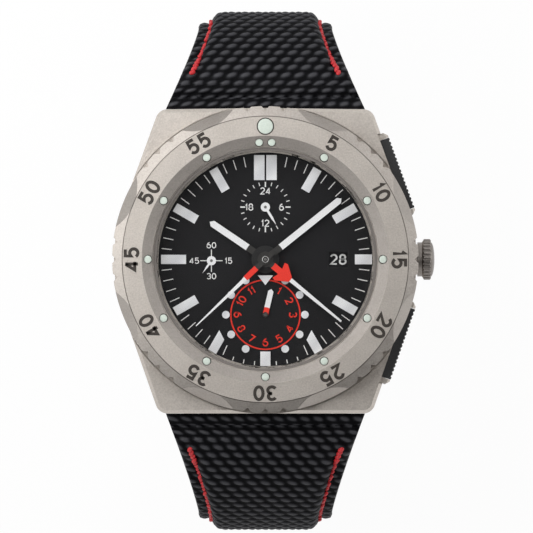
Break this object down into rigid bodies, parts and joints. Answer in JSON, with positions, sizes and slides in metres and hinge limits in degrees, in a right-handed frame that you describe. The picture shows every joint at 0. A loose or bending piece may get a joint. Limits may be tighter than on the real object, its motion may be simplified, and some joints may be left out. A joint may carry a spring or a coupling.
{
  "type": "wristwatch",
  "caption": "Chronograph wristwatch with a blasted titanium case, turning bezel, black dial, pushers with rubber inlays and a padded woven strap closed by a folding clasp.",
  "frame": {"origin": "on the middle axis of the head, on the clasp's flat outer face that the watch stands on", "axes": "+X points towards 3 o'clock, where the crown is, +Y towards 12 o'clock and +Z out of the dial"},
  "size_m": [0.0489, 0.0787, 0.0657],
  "materials": {
    "titanium": "bead_blasted",
    "crown_metal": "satin",
    "steel": "polished",
    "clasp_metal": "satin",
    "sapphire": "polished",
    "dial_black": "matt",
    "hand_white": "matt",
    "hand_red": "matt",
    "lume": "satin",
    "date_print": "matt",
    "movement_metal": "satin",
    "gear_brass": "polished",
    "rubber": "matt",
    "strap_fabric": "woven",
    "strap_leather": "matt"
  },
  "bodies": {
    "root": {"case_middle": "titanium", "crown_tube": "steel", "bezel_click_ring": "steel", "crystal": "sapphire", "case_gaskets": "rubber", "dial": "dial_black", "dial_markers": "lume", "movement_ring": "movement_metal", "main_plate": "movement_metal", "train_bridge": "movement_metal", "rotor_bridge": "movement_metal", "hairspring": "steel", "balance_cock": "movement_metal", "pusher_springs": "steel", "case_back": "titanium", "head_screws": "steel", "spring_bars": "steel", "strap_covers": "strap_fabric"},
    "bezel": {"bezel": "titanium"},
    "minute_hand": {"minute_hand": "hand_white", "cannon_pinion": "steel", "centre_wheel": "gear_brass"},
    "hour_hand": {"hour_hand": "hand_white", "hour_wheel": "gear_brass"},
    "day_night_hand": {"day_night_hand": "hand_white", "day_night_wheel": "gear_brass"},
    "small_seconds_hand": {"small_seconds_hand": "hand_white", "fourth_wheel": "gear_brass"},
    "third_wheel": {"third_wheel": "gear_brass"},
    "barrel": {"barrel": "gear_brass"},
    "date_disc": {"date_disc": "date_print"},
    "escape_wheel": {"escape_wheel": "steel"},
    "pallet_fork": {"pallet_fork": "steel"},
    "balance_wheel": {"balance_wheel": "gear_brass"},
    "chrono_seconds_hand": {"chrono_seconds_hand": "hand_white", "chrono_seconds_wheel": "gear_brass"},
    "chrono_minutes_hand": {"chrono_minutes_hand": "hand_red", "chrono_minutes_wheel": "gear_brass"},
    "hour_counter_hand": {"hour_counter_hand": "hand_white", "hour_counter_wheel": "gear_brass"},
    "winding_rotor": {"winding_rotor": "movement_metal"},
    "crown_slide": {"crown_gasket": "rubber"},
    "crown": {"crown": "crown_metal", "winding_stem": "steel"},
    "pusher_upper": {"pusher_upper": "titanium", "pusher_upper_inlay": "rubber"},
    "pusher_lower": {"pusher_lower": "titanium", "pusher_lower_inlay": "rubber"},
    "strap_12": {"strap_12": "strap_fabric", "strap_12_lining": "strap_leather", "strap_12_pin": "steel"},
    "strap_6": {"strap_6": "strap_fabric", "strap_6_lining": "strap_leather", "strap_6_pin": "steel"},
    "clasp_base": {"clasp_base": "clasp_metal"},
    "clasp_leaf": {"clasp_leaf": "clasp_metal", "clasp_pins": "steel"},
    "clasp_cover": {"clasp_cover": "clasp_metal"},
    "clasp_button_left": {"clasp_button_left": "clasp_metal"},
    "clasp_button_right": {"clasp_button_right": "clasp_metal"}
  },
  "joints": [
    {"name": "bezel_turn", "type": "hinge", "parent": "root", "child": "bezel", "pos_m": [0, 0, 0.062], "axis": [0, 0, -1], "continuous": true},
    {"name": "minute_turn", "type": "hinge", "parent": "root", "child": "minute_hand", "pos_m": [0, 0, 0.05945], "axis": [0, 0, -1], "continuous": true},
    {"name": "hour_turn", "type": "hinge", "parent": "root", "child": "hour_hand", "pos_m": [0, 0, 0.05945], "axis": [0, 0, -1], "continuous": true},
    {"name": "day_night_turn", "type": "hinge", "parent": "root", "child": "day_night_hand", "pos_m": [0, 0.00795, 0.05945], "axis": [0, 0, -1], "continuous": true},
    {"name": "small_seconds_turn", "type": "hinge", "parent": "root", "child": "small_seconds_hand", "pos_m": [-0.0082, -0.0002, 0.05945], "axis": [0, 0, -1], "continuous": true},
    {"name": "third_wheel_turn", "type": "hinge", "parent": "root", "child": "third_wheel", "pos_m": [-0.00649, -0.00404, 0.056], "axis": [0, 0, -1], "continuous": true},
    {"name": "barrel_turn", "type": "hinge", "parent": "root", "child": "barrel", "pos_m": [-0.0066, 0.0074, 0.056], "axis": [0, 0, -1], "continuous": true},
    {"name": "date_turn", "type": "hinge", "parent": "root", "child": "date_disc", "pos_m": [0, 0, 0.05945], "axis": [0, 0, -1], "continuous": true},
    {"name": "escape_turn", "type": "hinge", "parent": "root", "child": "escape_wheel", "pos_m": [-0.011, -0.0046, 0.0556], "axis": [0, 0, -1], "continuous": true},
    {"name": "pallet_rock", "type": "hinge", "parent": "root", "child": "pallet_fork", "pos_m": [-0.009, -0.00697, 0.0556], "axis": [0, 0, 1], "range_deg": [-6, 6]},
    {"name": "balance_swing", "type": "hinge", "parent": "root", "child": "balance_wheel", "pos_m": [-0.0073, -0.009, 0.0552], "axis": [0, 0, 1], "range_deg": [-270, 270]},
    {"name": "chrono_seconds_turn", "type": "hinge", "parent": "root", "child": "chrono_seconds_hand", "pos_m": [0, 0, 0.05945], "axis": [0, 0, -1], "continuous": true},
    {"name": "chrono_minutes_turn", "type": "hinge", "parent": "root", "child": "chrono_minutes_hand", "pos_m": [0, 0, 0.05945], "axis": [0, 0, -1], "continuous": true},
    {"name": "hour_counter_turn", "type": "hinge", "parent": "root", "child": "hour_counter_hand", "pos_m": [0, -0.0084, 0.05945], "axis": [0, 0, -1], "continuous": true},
    {"name": "rotor_turn", "type": "hinge", "parent": "root", "child": "winding_rotor", "pos_m": [0, 0, 0.052], "axis": [0, 0, -1], "continuous": true},
    {"name": "crown_pull", "type": "slide", "parent": "root", "child": "crown_slide", "axis": [1, 0, 0], "range_m": [0, 0.0015]},
    {"name": "crown_turn", "type": "hinge", "parent": "crown_slide", "child": "crown", "pos_m": [0.024, 0, 0.05835], "axis": [1, 0, 0], "continuous": true},
    {"name": "pusher_upper_press", "type": "slide", "parent": "root", "child": "pusher_upper", "axis": [-0.9393, -0.3431, 0], "range_m": [0, 0.0007], "stiffness_N_per_m": 3000, "springref_m": -0.001},
    {"name": "pusher_lower_press", "type": "slide", "parent": "root", "child": "pusher_lower", "axis": [-0.9438, 0.3304, 0], "range_m": [0, 0.0007], "stiffness_N_per_m": 3000, "springref_m": -0.001},
    {"name": "strap_6_swing", "type": "hinge", "parent": "root", "child": "strap_6", "pos_m": [0, -0.0265, 0.056], "axis": [-1, 0, 0], "range_deg": [0, 30.13]},
    {"name": "strap_12_swing", "type": "hinge", "parent": "root", "child": "strap_12", "pos_m": [0, 0.0259, 0.056], "axis": [1, 0, 0], "range_deg": [0, 28]},
    {"name": "clasp_base_fold", "type": "hinge", "parent": "strap_12", "child": "clasp_base", "pos_m": [0, 0.017, 0.0059], "axis": [-1, 0, 0], "range_deg": [0, 32.38]},
    {"name": "clasp_leaf_fold", "type": "hinge", "parent": "clasp_base", "child": "clasp_leaf", "pos_m": [0, -0.013, 0.0039], "axis": [-1, 0, 0], "range_deg": [0, 160]},
    {"name": "clasp_cover_fold", "type": "hinge", "parent": "clasp_leaf", "child": "clasp_cover", "pos_m": [0, 0.0132, 0.0024], "axis": [1, 0, 0], "range_deg": [0, 160]},
    {"name": "clasp_button_left_press", "type": "slide", "parent": "clasp_cover", "child": "clasp_button_left", "axis": [1, 0, 0], "range_m": [0, 0.0006], "stiffness_N_per_m": 800, "springref_m": -0.001},
    {"name": "clasp_button_right_press", "type": "slide", "parent": "clasp_cover", "child": "clasp_button_right", "axis": [-1, 0, 0], "range_m": [0, 0.0006], "stiffness_N_per_m": 800, "springref_m": -0.001}
  ],
  "couplings": [
    {"joint": "hour_turn", "follows": "minute_turn", "ratio": 0.083333},
    {"joint": "day_night_turn", "follows": "minute_turn", "ratio": 0.041667},
    {"joint": "small_seconds_turn", "follows": "minute_turn", "ratio": 60},
    {"joint": "third_wheel_turn", "follows": "minute_turn", "ratio": -8},
    {"joint": "barrel_turn", "follows": "minute_turn", "ratio": -0.14286},
    {"joint": "date_turn", "follows": "minute_turn", "ratio": -0.0013441},
    {"joint": "chrono_minutes_turn", "follows": "chrono_seconds_turn", "ratio": 0.016667},
    {"joint": "hour_counter_turn", "follows": "chrono_seconds_turn", "ratio": 0.0013889},
    {"joint": "strap_12_swing", "follows": "strap_6_swing", "ratio": 0.92936},
    {"joint": "clasp_base_fold", "follows": "strap_6_swing", "ratio": 1.0748},
    {"joint": "clasp_leaf_fold", "follows": "strap_6_swing", "ratio": 5.3106},
    {"joint": "clasp_cover_fold", "follows": "strap_6_swing", "ratio": 5.3106}
  ]
}
